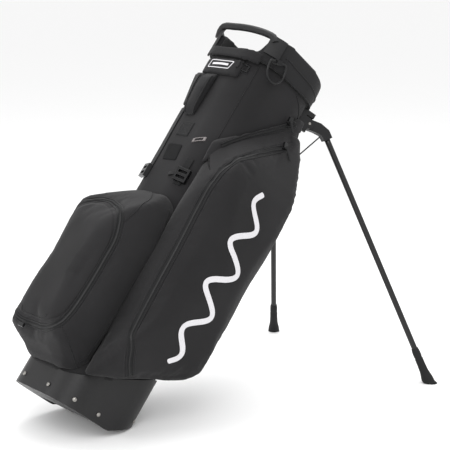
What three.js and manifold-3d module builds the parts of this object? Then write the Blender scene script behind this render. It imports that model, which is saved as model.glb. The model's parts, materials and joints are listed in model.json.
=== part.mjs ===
// A golf stand bag, leaning on its two open legs. Millimetres, +Z up.
// The origin is the middle of the foot pedal's contact face on the ground, +X is the way the bag
// leans, towards its legs, and -Y is the bag's right side. The bag's own parts are placed in a
// group that is turned by the lean: there X points to the belly, where the legs are, -X to the
// spine, where the straps are, and Z runs up the bag from the middle of the base's bottom.
import * as THREE from 'three';
import { mergeVertices } from 'three/addons/utils/BufferGeometryUtils.js';
import Module from 'manifold-3d';

const wasm = await Module();
wasm.setup();

// Driving dimensions
const LEAN = THREE.MathUtils.degToRad(38.3);
const GAP = 0.3;
const BASE = { depth: 110, width: 108, radius: 72, wall: 4, bottom: -6 };
const BODY = { depth: 101, width: 99, radius: 70, wall: 4, bottom: 58, top: 797 };
const CUFF = { depth: 107, width: 105, radius: 70, wall: 10, bottom: 797.4, rear: 812, side: 850 };
const CONTACT = { x: 98, z: 30.3, rear: 6, front: 5 };
const PEDAL_HINGE = { x: -10, z: -0.5, pin: 2.5, barrel: 5 };
const LEG_HINGE = { x: 115, y: 68.5, z: 772, skew: THREE.MathUtils.degToRad(20.8), pin: 3 };
const LEG_TOP = { x: 57.8, z: -2 };
const LEG_ANGLE = Math.atan2(0.834, 0.554);
const LEG_LENGTH = 584;
const LEG_RADIUS = 6.35;
const FOOT_GRIP = 44;
const LINK_FOOT = { x: -3, z: -120 };
const LINK_HEAD = { x: 35, z: -12 };
const ROD_RADIUS = 2;
const ROD_FOOT = { x: 82.5, z: 31.5 };
const ROD_ASIDE = 13;
const GUIDE = { low: 540, high: 560 };
const CORNER_STEPS = 6;

const COLOURS = {
  cloth: [0x323234, 0.85, 0],
  darkCloth: [0x26262a, 0.9, 0],
  plastic: [0x2b2b2e, 0.55, 0],
  gloss: [0x1f1f22, 0.35, 0],
  rubber: [0x1c1c1d, 0.8, 0],
  metal: [0xa8a49c, 0.35, 1],
  tube: [0x242427, 0.4, 0.2],
};

function finish(name) {
  const [color, roughness, metalness] = COLOURS[name];
  return new THREE.MeshStandardMaterial({ color, roughness, metalness });
}

const object = new THREE.Group();
const bag = new THREE.Group();
bag.rotation.y = LEAN;
bag.position.set(
  -CONTACT.x * Math.cos(LEAN) - CONTACT.z * Math.sin(LEAN),
  0,
  CONTACT.x * Math.sin(LEAN) - CONTACT.z * Math.cos(LEAN),
);
object.add(bag);

function add(parent, name, geometry, look) {
  const mesh = new THREE.Mesh(geometry, finish(look));
  mesh.name = name;
  parent.add(mesh);
  return mesh;
}

// Solids: closed geometries in, closed geometries out
function toSolid(geometry) {
  const bare = geometry.clone();
  bare.deleteAttribute('normal');
  bare.deleteAttribute('uv');
  const merged = mergeVertices(bare, 1e-4);
  return new wasm.Manifold(new wasm.Mesh({
    numProp: 3,
    vertProperties: new Float32Array(merged.attributes.position.array),
    triVerts: new Uint32Array(merged.index.array),
  }));
}

function toGeometry(solid) {
  const result = solid.getMesh();
  const geometry = new THREE.BufferGeometry();
  geometry.setAttribute('position', new THREE.BufferAttribute(result.vertProperties, 3));
  geometry.setIndex(new THREE.BufferAttribute(result.triVerts, 1));
  geometry.computeVertexNormals();
  return geometry;
}

const join = (...parts) => toGeometry(parts.map(toSolid).reduce((all, one) => all.add(one)));
const cut = (body, ...tools) => toGeometry(tools.map(toSolid).reduce((all, one) => all.subtract(one),
  toSolid(body)));
const overlap = (...parts) => toGeometry(parts.map(toSolid).reduce((all, one) => all.intersect(one)));

// Points round a rounded rectangle, counterclockwise from the middle of +X, +Y
function roundedLoop(depth, width, radius) {
  const points = [];
  for (let corner = 0; corner < 4; corner += 1) {
    const centreX = (corner === 0 || corner === 3 ? 1 : -1) * (depth - radius);
    const centreY = (corner < 2 ? 1 : -1) * (width - radius);
    for (let step = 0; step <= CORNER_STEPS; step += 1) {
      const angle = (corner + step / CORNER_STEPS) * Math.PI / 2;
      points.push(new THREE.Vector2(centreX + radius * Math.cos(angle),
        centreY + radius * Math.sin(angle)));
    }
  }
  return points;
}

function prism(points, bottom, top) {
  const outline = points.map((p) => (Array.isArray(p) ? new THREE.Vector2(p[0], p[1]) : p));
  const shape = new THREE.Shape(outline);
  const geometry = new THREE.ExtrudeGeometry(shape, { depth: top - bottom, bevelEnabled: false });
  return geometry.translate(0, 0, bottom);
}

const roundedPrism = (size, grow, bottom, top) => prism(
  roundedLoop(size.depth + grow, size.width + grow, size.radius + grow), bottom, top);

// An outline drawn in X and Z, from one Y to another
function across(points, low, high) {
  return prism(points, 0, high - low).rotateX(Math.PI / 2).translate(0, high, 0);
}

// An outline drawn in Y and Z, from one X to another
function along(points, low, high) {
  return prism(points, 0, high - low).rotateX(Math.PI / 2).rotateZ(Math.PI / 2).translate(low, 0, 0);
}

function block(x, y, z) {
  return new THREE.BoxGeometry(x[1] - x[0], y[1] - y[0], z[1] - z[0])
    .translate((x[0] + x[1]) / 2, (y[0] + y[1]) / 2, (z[0] + z[1]) / 2);
}

// A round bar along Y; the cylinder class already stands along Y
function barAcross(radius, low, high, x, z, sides = 16) {
  return new THREE.CylinderGeometry(radius, radius, high - low, sides)
    .translate(x, (low + high) / 2, z);
}

function rod(radius, bottom, top, x, y, sides = 12) {
  return new THREE.CylinderGeometry(radius, radius, top - bottom, sides).rotateX(Math.PI / 2)
    .translate(x, y, (bottom + top) / 2);
}

const bodySpace = roundedPrism(BODY, 0.7, -50, 1000);

// Where the push rod's upper end lies, beside the leg's hinge and below it
function rodHead(sign) {
  const place = new THREE.Vector3(LINK_FOOT.x, sign * ROD_ASIDE, LINK_FOOT.z);
  place.applyAxisAngle(new THREE.Vector3(0, 0, 1), sign * LEG_HINGE.skew);
  return place.add(new THREE.Vector3(LEG_HINGE.x, sign * LEG_HINGE.y, LEG_HINGE.z));
}

// Base: a moulded cup whose front is bevelled, with a recess for the pedal under it
const groundSlope = Math.tan(LEAN);
const groundAt = (x, above) => CONTACT.z + (x - CONTACT.x) * groundSlope + above;
const pedalFrontLow = [CONTACT.x - CONTACT.rear, groundAt(CONTACT.x - CONTACT.rear, 0)];
const pedalFrontHigh = [CONTACT.x + CONTACT.front, groundAt(CONTACT.x + CONTACT.front, 0)];

function rodLine(radius, low, high, sign) {
  const head = rodHead(sign);
  const tilt = Math.atan2(head.x - ROD_FOOT.x, head.z - ROD_FOOT.z);
  return rod(radius, low - head.z, high - head.z, 0, 0).rotateY(tilt).translate(head.x, head.y, head.z);
}

function baseCup() {
  const hem = [[130, 140], [70, 130], [-18, 89], [-47, 80], [-105, 50], [-130, 46]];
  const bevel = [[-130, BASE.bottom], [24, BASE.bottom], [pedalFrontLow[0], pedalFrontLow[1] + 1.2],
    [130, groundAt(130, 1.5)]];
  const outer = overlap(roundedPrism(BASE, 0, BASE.bottom, 150), across([...bevel, ...hem], -130, 130));
  const floor = [[-130, 0], [-20, 0], [0, 16], [130, 60], [130, 160], [-130, 160]];
  const cavity = overlap(roundedPrism(BASE, -BASE.wall, -5, 160), across(floor, -130, 130));
  const roof = [[-18, -12], [130, -12], [130, 56], [0, 12], [-18, 6]];
  const recess = overlap(roundedPrism(BASE, -BASE.wall, -20, 160), across(roof, -94, 94));
  const cup = cut(outer, cavity, recess);
  const ears = [-1, 1].map((s) => block([-17, -3], s < 0 ? [-103, -92.5] : [92.5, 103], [-6, 6]));
  const bore = barAcross(PEDAL_HINGE.pin + GAP, -98.5, 98.5, PEDAL_HINGE.x, PEDAL_HINGE.z);
  const rodHoles = [-1, 1].map((s) => rodLine(ROD_RADIUS + 2, 20, 70, s));
  return cut(join(cup, ...ears), bore, ...rodHoles);
}
add(bag, 'base_cup', baseCup(), 'plastic');

function footPedal() {
  const plate = [[-8, -5.2], [-4, -4.8], pedalFrontLow, pedalFrontHigh,
    [pedalFrontHigh[0], pedalFrontHigh[1] + 3], [90, pedalFrontLow[1] + 7], [0, 3], [-8, 3]];
  const trimmed = overlap(across(plate, -90, 90), roundedPrism(BASE, -BASE.wall - 2, -10, 100));
  const barrel = barAcross(PEDAL_HINGE.barrel, -91.5, 91.5, PEDAL_HINGE.x, PEDAL_HINGE.z);
  const bore = barAcross(PEDAL_HINGE.pin + GAP, -93, 93, PEDAL_HINGE.x, PEDAL_HINGE.z);
  return cut(join(trimmed, barrel), bore);
}
add(bag, 'foot_pedal', footPedal(), 'rubber');
add(bag, 'pedal_pin', barAcross(PEDAL_HINGE.pin, -98, 98, PEDAL_HINGE.x, PEDAL_HINGE.z, 12), 'metal');

// Rivets: a domed head and a short shank in the base's wall, each turned to face out
const rivetPlaces = [[-180, 14, 'spine', 44], [-122, 12, 'rear_corner', 0], [-90, 11, 'side', -16],
  [-52, 38, 'front_corner', 0]];
for (const [turn, height, label, shift] of rivetPlaces) {
  for (const side of ['right', 'left']) {
    const sign = side === 'right' ? 1 : -1;
    const angle = THREE.MathUtils.degToRad(turn * sign);
    const outline = [[0, GAP], [4.6, GAP], [4.3, 1.2], [2.8, 2.2], [0, 2.6]];
    const head = new THREE.LatheGeometry(outline.map(([r, z]) => new THREE.Vector2(r, z)), 12);
    head.rotateZ(-Math.PI / 2);
    const corner = new THREE.Vector2(Math.sign(Math.cos(angle)) * (BASE.depth - BASE.radius),
      -sign * (BASE.width - BASE.radius));
    if (label === 'spine') corner.set(-(BASE.depth - BASE.radius), -sign * shift);
    if (label === 'side') corner.x = shift;
    const rivet = add(bag, `rivet_${label}_${side}`, head, 'metal');
    rivet.rotation.z = angle;
    rivet.position.set(corner.x + (BASE.radius + GAP) * Math.cos(angle),
      corner.y + (BASE.radius + GAP) * Math.sin(angle), height);
  }
}

// Body: four fabric panels that make one rounded tube, open at the top
const outerLoop = roundedLoop(BODY.depth, BODY.width, BODY.radius);
const innerLoop = roundedLoop(BODY.depth - BODY.wall, BODY.width - BODY.wall, BODY.radius - BODY.wall);
function panel(firstCorner, outward, bottom) {
  const perCorner = CORNER_STEPS + 1;
  const start = firstCorner * perCorner + CORNER_STEPS / 2;
  const indices = Array.from({ length: perCorner + 1 }, (_, i) => (start + i) % (4 * perCorner));
  const outline = [...indices.map((i) => outerLoop[i]), ...indices.toReversed().map((i) => innerLoop[i])];
  return prism(outline, bottom, BODY.top).translate(outward[0] * 0.2, outward[1] * 0.2, 0);
}
add(bag, 'belly_panel', panel(3, [1, 0], BODY.bottom), 'cloth');
add(bag, 'left_panel', panel(0, [0, 1], BODY.bottom), 'cloth');
add(bag, 'spine_panel', panel(1, [-1, 0], 8), 'cloth');
add(bag, 'right_panel', panel(2, [0, -1], BODY.bottom), 'cloth');

// Two stay rods stiffen the body between the base and the cuff
for (const [side, sign] of [['right', -1], ['left', 1]]) {
  add(bag, `stay_rod_${side}`, rod(3, 6.5, BODY.top - 4, -76, sign * 66), 'metal');
}

// Cuff: a padded ring, low at the spine and high round the sides and the front
function cuffRing(margin) {
  const side = CUFF.side + margin;
  const top = [[-130, 790], [130, 790], [130, side - 4], [100, side + 1], [63, side + 6], [19, side + 11],
    [-35, side + 14], [-70, side + 9], [-90 - margin, side], [-97 - margin, CUFF.rear + margin],
    [-130, CUFF.rear + margin]];
  const ring = cut(roundedPrism(CUFF, margin, CUFF.bottom, 880),
    roundedPrism(CUFF, -CUFF.wall - margin, 700, 900));
  return overlap(ring, across(top, -130, 130));
}
add(bag, 'top_cuff', cuffRing(0), 'cloth');
const rimPad = overlap(cut(roundedPrism(CUFF, 3.5, 787, 811), roundedPrism(CUFF, GAP + 0.1, 700, 900),
  roundedPrism(BODY, 0.5, 700, 900)), block([-130, -80], [-84, 74], [780, 820]));
add(bag, 'spine_rim_pad', rimPad, 'darkCloth');

// Dividers keep four club wells apart inside the cuff
const wellWall = { low: 800, high: 836, half: 4 };
add(bag, 'divider_across', block([-4, 4], [-94.5, 94.5], [wellWall.low, wellWall.high]), 'darkCloth');
add(bag, 'divider_front', block([4.4, 96.4], [-4, 4], [wellWall.low, wellWall.high]), 'darkCloth');
add(bag, 'divider_rear', block([-96.4, -4.4], [-4, 4], [wellWall.low, 808]), 'darkCloth');

// Grab handle: an arch over the spine side with a clip round the cuff at each end
function grabHandle() {
  const shell = cut(roundedPrism(CUFF, 6, 812, 858), roundedPrism(CUFF, GAP + 0.1, 700, 900));
  const rightClip = overlap(shell, block([-100, -64], [-130, -84], [816, 860]));
  const leftClip = overlap(shell, block([-96, -56], [72, 130], [812, 858]));
  const route = new THREE.CatmullRomCurve3([[-84, -92, 845], [-88, -85, 854], [-93, -62, 860],
    [-96, -4, 867], [-97, 50, 868], [-95, 82, 867], [-91, 91, 858], [-87, 90, 842]]
    .map((p) => new THREE.Vector3(...p)));
  const section = new THREE.Shape();
  section.absellipse(0, 0, 8, 7.6, 0, 2 * Math.PI);
  const arch = new THREE.ExtrudeGeometry(section, { steps: 28, curveSegments: 5, extrudePath: route });
  return cut(join(arch, rightClip, leftClip), cuffRing(GAP + 0.1));
}
add(bag, 'grab_handle', grabHandle(), 'plastic');

// Towel ring: a D of bar hanging in a webbing tab below the right clip, turned a little in its tab
const RING = { x: -65, y: -110, z: 811, bar: 4, half: 26, drop: 24, turn: THREE.MathUtils.degToRad(-16.6) };
const ringMount = new THREE.Group();
ringMount.position.set(RING.x, RING.y, RING.z);
ringMount.rotation.y = RING.turn;
bag.add(ringMount);
function towelRing() {
  const thick = RING.bar / 2;
  const outer = new THREE.Shape();
  outer.moveTo(-RING.half + 4, thick);
  outer.lineTo(-RING.half, -6);
  outer.absarc(0, -RING.drop, RING.half, Math.PI, 2 * Math.PI, false);
  outer.lineTo(RING.half, -6);
  outer.lineTo(RING.half - 4, thick);
  const hole = new THREE.Path();
  const inner = RING.half - RING.bar;
  hole.moveTo(-inner + 2, -thick);
  hole.lineTo(inner - 2, -thick);
  hole.lineTo(inner, -8);
  hole.lineTo(inner, -RING.drop);
  hole.absarc(0, -RING.drop, inner, 0, Math.PI, true);
  hole.lineTo(-inner, -8);
  outer.holes.push(hole);
  const bend = new THREE.ExtrudeGeometry(outer, { depth: RING.bar, bevelEnabled: false, curveSegments: 10 });
  return bend.translate(0, 0, -thick).rotateX(Math.PI / 2);
}
add(ringMount, 'towel_ring', towelRing(), 'gloss');
ringMount.updateMatrix();
const cuffInTab = roundedPrism(CUFF, 0.4, 700, 900).applyMatrix4(ringMount.matrix.clone().invert());
const tabBore = new THREE.CylinderGeometry(3.3, 3.3, 40, 12).rotateZ(Math.PI / 2);
add(ringMount, 'towel_ring_tab', cut(block([-7, 7], [-5, 20], [-4.6, 4.4]), cuffInTab, tabBore), 'darkCloth');

// Pockets: soft closed solids, each the meeting of its side, front and top outlines
function pocket(side, front, plan, low, high) {
  const sideSolid = across(side, -260, 260);
  const frontSolid = along(front, -260, 260);
  return cut(overlap(sideSolid, frontSolid, prism(plan, low, high)), bodySpace);
}
const garmentSide = [[-30, 86], [22, 112], [60, 132], [90, 156], [104, 184], [112, 240], [121, 320],
  [122, 400], [116, 480], [110, 530], [107, 585], [104, 625], [98, 672], [84, 718], [62, 716],
  [-34, 622], [-68, 582], [-92, 535], [-105, 480], [-106, 400], [-101, 300], [-97, 200], [-96, 62],
  [-47, 80]];
const garmentFront = [[0, 56], [-109, 56], [-124, 76], [-140, 98], [-152, 128], [-174, 168],
  [-187, 230], [-195, 320], [-194, 410], [-186, 500], [-174, 560], [-165, 590], [-128, 684],
  [-111, 722], [0, 722]];
const garmentPlan = [[-61.3, -49], [-97.3, -108], [-106, -130], [-100, -155], [-78, -174], [-40, -188],
  [10, -195], [60, -195], [96, -184], [114, -162], [122, -130], [117, -104], [62, -96], [0, -90]];
const garmentPocket = cut(pocket(garmentSide, garmentFront, garmentPlan, 50, 730),
  roundedPrism(BASE, 0.5, -10, 138));
add(bag, 'right_garment_pocket', garmentPocket, 'cloth');

const upperSide = [[62, 718], [84, 720.5], [98, 690], [99, 735], [92, 758], [66, 756], [5, 697],
  [-58, 634], [-92, 594], [-104, 566], [-104, 500], [-93.5, 536], [-69, 583.5], [-35, 623.5]];
const upperFront = [[0, 490], [-118, 490], [-114, 560], [-104, 760], [0, 760]];
const upperPlan = [[-70, -62], [-92, -88], [-80, -99], [-40, -105], [20, -108], [60, -107], [88, -98],
  [68, -80]];
add(bag, 'right_upper_pocket', pocket(upperSide, upperFront, upperPlan, 490, 760), 'cloth');

const leftSide = [[-20, 118], [60, 138], [92, 180], [104, 300], [104, 400], [92, 438], [-60, 438],
  [-92, 400], [-92, 200], [-70, 130]];
const leftFront = [[0, 118], [112, 118], [146, 150], [166, 240], [166, 330], [146, 420], [112, 438],
  [0, 438]];
const leftPlan = [[0, 90], [62, 96], [100, 104], [104, 130], [84, 160], [0, 170], [-66, 158], [-90, 130],
  [-92, 104], [-61.3, 49]];
add(bag, 'left_garment_pocket', pocket(leftSide, leftFront, leftPlan, 118, 438), 'cloth');
const valuablesSide = [[-20, 470], [84, 470], [88, 480], [88, 650], [70, 668], [-20, 668], [-30, 655],
  [-30, 482]];
const valuablesFront = [[0, 470], [104, 470], [124, 490], [124, 640], [104, 668], [0, 668]];
const valuablesPlan = [[-30, 90], [58, 88], [64, 104], [54, 118], [0, 125], [-30, 112]];
add(bag, 'left_valuables_pocket', pocket(valuablesSide, valuablesFront, valuablesPlan, 470, 668), 'cloth');

// Ball pocket on the spine side, lower at its left shoulder, with its zipped front panel
const ballSide = [[-80, 47], [-112, 48], [-124, 58], [-136, 70], [-160, 83], [-184, 95], [-192, 112],
  [-193, 335], [-189, 368], [-178, 388], [-160, 406], [-140, 425], [-120, 443], [-100, 457], [-80, 462]];
const ballFront = [[-34, 46], [-70, 56], [-92, 95], [-100, 140], [-104, 220], [-106, 340], [-102, 385],
  [-92, 420], [-72, 446], [-38, 462], [10, 454], [40, 430], [66, 400], [86, 362], [102, 320], [103, 220],
  [96, 146], [92, 100], [84, 74], [60, 56], [34, 46]];
const ballPlan = [[-62.7, 49], [-97.6, 106.2], [-128, 104], [-176, 84], [-193, 62], [-193, -74],
  [-176, -92], [-128, -104], [-97.6, -106.2], [-62.7, -49]];
const ballPocket = cut(pocket(ballSide, ballFront, ballPlan, 50, 464), roundedPrism(BASE, 0.5, -10, 60));
add(bag, 'ball_pocket', ballPocket, 'cloth');
const ballPanel = [[-26, 112], [-50, 118], [-64, 149], [-76, 204], [-80, 267], [-80, 311], [-72, 350],
  [-54, 372], [-20, 384], [20, 380], [44, 366], [56, 345], [60, 311], [60, 204], [54, 149], [44, 118],
  [26, 112]];
add(bag, 'ball_pocket_panel', along(ballPanel, -199, -193.4), 'cloth');

// Hip pad on the belly, between the legs
add(bag, 'hip_pad', cut(across([[95, 330], [114, 340], [120, 370], [120, 560], [114, 590], [95, 600]],
  -48, 48), bodySpace), 'darkCloth');

// Shoulder straps lie folded on the spine
function strapPiece(low, high, outline, rise) {
  const shell = roundedPrism(BODY, rise, outline[0][1], 800);
  return cut(overlap(shell, across(outline, low, high)), bodySpace);
}
const strapSides = { right: [-2, 38, 631], left: [39, 80, 652] };
for (const [side, [low, high, bottom]] of Object.entries(strapSides)) {
  const outline = [[-60, bottom], [-104, bottom], [-114, bottom + 16], [-116, 700], [-113, 730],
    [-106, 744], [-60, 744]];
  add(bag, `strap_pad_${side}`, strapPiece(low, high, outline, 13), 'darkCloth');
}
add(bag, 'strap_yoke', strapPiece(-56, 62, [[-60, 744.6], [-120, 744.6], [-120, 783], [-60, 783]], 7),
  'darkCloth');
const webbing = { right: [-14, 28, 593, 627], left: [44, 68, 520, 651.5] };
for (const [side, [low, high, bottom, top]] of Object.entries(webbing)) {
  const outline = [[-60, bottom], [-120, bottom], [-120, top], [-60, top]];
  add(bag, `strap_webbing_${side}`, strapPiece(low, high, outline, 3), 'darkCloth');
}

// A ladder buckle: a plate with two slots, its back cut to the body; X points out from the body
function buckle(angle, y, z) {
  const place = new THREE.Matrix4().makeRotationZ(angle);
  const corner = new THREE.Vector2(-(BODY.depth - BODY.radius), Math.sign(y) * (BODY.width - BODY.radius));
  const reach = BODY.radius - 4;
  place.setPosition(corner.x + reach * Math.cos(angle), corner.y + reach * Math.sin(angle), z);
  const plate = block([0, 12], [-15, 15], [-15, 15]);
  const slots = [[3, 9], [-9, -3]].map((range) => block([-20, 20], [-10, 10], range));
  return cut(cut(plate, ...slots).applyMatrix4(place), bodySpace);
}
add(bag, 'strap_buckle_right', buckle(THREE.MathUtils.degToRad(-155), -1, 508), 'gloss');
add(bag, 'strap_buckle_left', buckle(THREE.MathUtils.degToRad(158), 1, 500), 'gloss');

// Zip sliders with their pulls; each lies on its pocket's slope, and its pull hangs out over the slope
const ZIPS = [
  { name: 'garment_zip', place: [38, -132.8, 674.9], slope: 21.5, pull: [38, -141.7, 674.1], hang: 20,
    length: 30 },
  { name: 'upper_zip', place: [36, -108.5, 733], slope: 3, pull: [36, -116.6, 730], hang: 14, length: 21 },
];
for (const zip of ZIPS) {
  const body = cut(block([-5, 5], [-6, 0], [-8, 8]), block([-8, 8], [-4.6, -1.8], [-6, -2.5]));
  const carriage = add(bag, `${zip.name}_slider`, body, 'gloss');
  carriage.position.set(...zip.place);
  carriage.rotation.x = -THREE.MathUtils.degToRad(zip.slope);
  const pull = add(bag, `${zip.name}_pull`, block([-2.5, 2.5], [-3, 0], [-zip.length, 2]), 'darkCloth');
  pull.position.set(...zip.pull);
  pull.rotation.set(-THREE.MathUtils.degToRad(zip.hang), -LEAN, 0, 'YXZ');
}
const ballSlider = add(bag, 'ball_zip_slider', block([-6, 0], [-9, 9], [-4, 4]), 'gloss');
ballSlider.position.set(-187, 24, 89);

// Legs: in each hinge group X points out from the bag, Y lies along the hinge pin and Z up the bag
// One edge of the elbow, above (1) or below (-1) the line from the hinge to the leg's end: each
// station is a point of the line, the half thickness there and the way across the line
function elbowEdge(side) {
  const stations = [[0, 0, 12, 0, 1], [24, 6, 12, 0.1, 1], [44, 6, 11, 0.42, 0.9],
    [LEG_TOP.x, LEG_TOP.z, 10, Math.cos(LEG_ANGLE), Math.sin(LEG_ANGLE)]];
  return stations.map(([x, z, half, acrossX, acrossZ]) => [x + acrossX * half * side,
    z + acrossZ * half * side]);
}

function elbow() {
  const web = across([...elbowEdge(-1), ...elbowEdge(1).toReversed()], -8.5, 8.5);
  const barrel = barAcross(12, -8.5, 8.5, 0, 0, 24);
  const bore = barAcross(LEG_HINGE.pin + GAP, -20, 20, 0, 0);
  return cut(join(web, barrel), bore);
}

function legBracket() {
  const ears = [[9, 15], [-15, -9]].map(([low, high]) => join(
    barAcross(11, low, high, 0, 0, 24), block([-40, 0], [low, high], [-22, 11])));
  const back = block([-44, -14.5], [-15, 15], [-26, 24]);
  const hood = block([-44, 3], [-15, 15], [13.5, 24]);
  const bore = barAcross(LEG_HINGE.pin + GAP, -20, 20, 0, 0);
  return cut(join(...ears, back, hood), bore);
}

function legTube() {
  const bottom = LEG_LENGTH - FOOT_GRIP;
  const wall = [[LEG_RADIUS - 1.2, 0], [LEG_RADIUS, 0], [LEG_RADIUS, bottom], [LEG_RADIUS - 1.2, bottom],
    [LEG_RADIUS - 1.2, 0]];
  const tube = new THREE.LatheGeometry(wall.map(([r, z]) => new THREE.Vector2(r, z)), 20);
  return tube.rotateX(-Math.PI / 2).translate(0, 0, -GAP);
}

function footTip() {
  const profile = [[0, -84], [6.8, -84], [8.6, -76], [8.8, -44], [9.6, -28], [13, -10], [14, 16], [0, 16]]
    .map(([r, z]) => new THREE.Vector2(r, z + LEG_LENGTH));
  return new THREE.LatheGeometry(profile, 20).rotateX(-Math.PI / 2);
}

// The blind bore in the foot tip that the leg tube is pushed into
function sleeveSpace() {
  const radius = LEG_RADIUS + GAP;
  return new THREE.CylinderGeometry(radius, radius, LEG_LENGTH, 20).rotateX(Math.PI / 2)
    .translate(0, 0, FOOT_GRIP - LEG_LENGTH / 2 - 2 * GAP);
}

object.updateMatrixWorld(true);
for (const [side, sign] of [['right', -1], ['left', 1]]) {
  const hinge = new THREE.Group();
  hinge.position.set(LEG_HINGE.x, sign * LEG_HINGE.y, LEG_HINGE.z);
  hinge.rotation.z = sign * LEG_HINGE.skew;
  bag.add(hinge);

  hinge.updateMatrixWorld(true);
  const toHinge = new THREE.Matrix4().copy(hinge.matrix).invert();
  add(hinge, `leg_bracket_${side}`, cut(legBracket(), bodySpace.clone().applyMatrix4(toHinge)), 'plastic');
  add(hinge, `leg_hinge_pin_${side}`, barAcross(LEG_HINGE.pin, -16, 16, 0, 0, 12), 'metal');
  add(hinge, `leg_elbow_${side}`, elbow(), 'plastic');

  const leg = new THREE.Group();
  leg.position.set(LEG_TOP.x, 0, LEG_TOP.z);
  leg.rotation.y = -LEG_ANGLE;
  hinge.add(leg);
  add(leg, `leg_tube_${side}`, legTube(), 'tube');
  leg.updateMatrixWorld(true);
  const ground = new THREE.BoxGeometry(200, 200, 100).translate(
    670, sign * 262, -50).applyMatrix4(new THREE.Matrix4().copy(leg.matrixWorld).invert());
  add(leg, `foot_tip_${side}`, cut(footTip(), sleeveSpace(), ground), 'rubber');

  // Push rod, its two guides, and the link that carries its push to the elbow
  const aside = sign * ROD_ASIDE;
  const link = new THREE.Group();
  link.position.set(LINK_FOOT.x, aside, LINK_FOOT.z);
  const run = new THREE.Vector2(LINK_HEAD.x - LINK_FOOT.x, LINK_HEAD.z - LINK_FOOT.z);
  link.rotation.y = Math.atan2(run.x, run.y);
  hinge.add(link);
  add(link, `rod_link_${side}`, rod(ROD_RADIUS - 0.5, 3, run.length() + 3, 0, 0), 'metal');

  add(bag, `push_rod_${side}`, rodLine(ROD_RADIUS, ROD_FOOT.z, rodHead(sign).z - 1, sign), 'metal');
  const head = rodHead(sign);
  const guide = block([60, head.x + 4], [head.y - 7, head.y + 7], [GUIDE.low, GUIDE.high]);
  add(bag, `rod_guide_${side}`, cut(guide, bodySpace, rodLine(ROD_RADIUS + 0.4, 500, 600, sign)), 'plastic');
}

export default object;
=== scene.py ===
import math

import bmesh
import bpy
import numpy as np
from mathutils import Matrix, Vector
from mathutils.bvhtree import BVHTree
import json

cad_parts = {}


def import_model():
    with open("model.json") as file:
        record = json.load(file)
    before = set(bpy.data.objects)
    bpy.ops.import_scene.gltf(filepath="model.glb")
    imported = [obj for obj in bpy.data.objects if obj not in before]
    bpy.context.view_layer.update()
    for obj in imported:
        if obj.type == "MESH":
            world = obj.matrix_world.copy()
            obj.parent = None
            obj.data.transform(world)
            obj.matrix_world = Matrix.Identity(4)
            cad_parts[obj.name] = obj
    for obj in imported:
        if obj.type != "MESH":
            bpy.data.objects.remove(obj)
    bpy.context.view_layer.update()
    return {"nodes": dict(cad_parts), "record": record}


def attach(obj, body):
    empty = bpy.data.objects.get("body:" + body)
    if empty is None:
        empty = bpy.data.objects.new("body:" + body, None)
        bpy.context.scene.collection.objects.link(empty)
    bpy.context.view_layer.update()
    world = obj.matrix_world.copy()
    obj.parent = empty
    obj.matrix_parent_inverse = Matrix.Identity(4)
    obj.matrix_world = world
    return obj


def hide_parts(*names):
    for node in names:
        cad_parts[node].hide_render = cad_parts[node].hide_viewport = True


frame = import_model()

# Driving sizes. The bag's own frame is in millimetres: f towards the belly and the legs, y towards the
# bag's left side and a up the bag. It leans by LEAN and stands on the pedal's contact face at the origin.
LEAN = math.radians(38.3)
CONTACT = (98.0, 30.3)
BODY = {"depth": 101.2, "width": 99.2, "radius": 70.0, "wall": 3.6, "bottom": 50.0, "top": 797.0}
CUFF = {"depth": 107.0, "width": 105.0, "radius": 70.0, "wall": 10.0, "bottom": 797.5}
LEG_HINGE = {"f": 115.0, "y": 68.5, "a": 772.0, "skew": math.radians(20.8)}
LEG_TOP = (57.8, -2.0)
LEG_ANGLE = math.atan2(0.834, 0.554)
LEG_RADIUS = 6.35
LEG_END = 540.0
MM = 0.001
TUBE_UV = (0.04, 0.54)

BELLY = np.array([math.cos(LEAN), 0.0, -math.sin(LEAN)])
SIDE = np.array([0.0, 1.0, 0.0])
ALONG = np.array([math.sin(LEAN), 0.0, math.cos(LEAN)])
BAG_ORIGIN = -CONTACT[0] * BELLY - CONTACT[1] * ALONG


def world(points):
    """Bag frame in millimetres to the object's frame in metres: origin + f BELLY + y SIDE + a ALONG."""
    p = np.asarray(points, float)
    return (BAG_ORIGIN + p[..., 0:1] * BELLY + p[..., 1:2] * SIDE + p[..., 2:3] * ALONG) * MM


def local(points):
    """The object's frame in metres back to the bag frame in millimetres."""
    p = np.asarray(points, float) / MM - BAG_ORIGIN
    return np.stack([p @ BELLY, p @ SIDE, p @ ALONG], -1)


def unit(v):
    """Each vector over its own length."""
    return v / np.maximum(np.linalg.norm(v, axis=-1, keepdims=True), 1e-12)


# ---------------------------------------------------------------- surfaces

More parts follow.
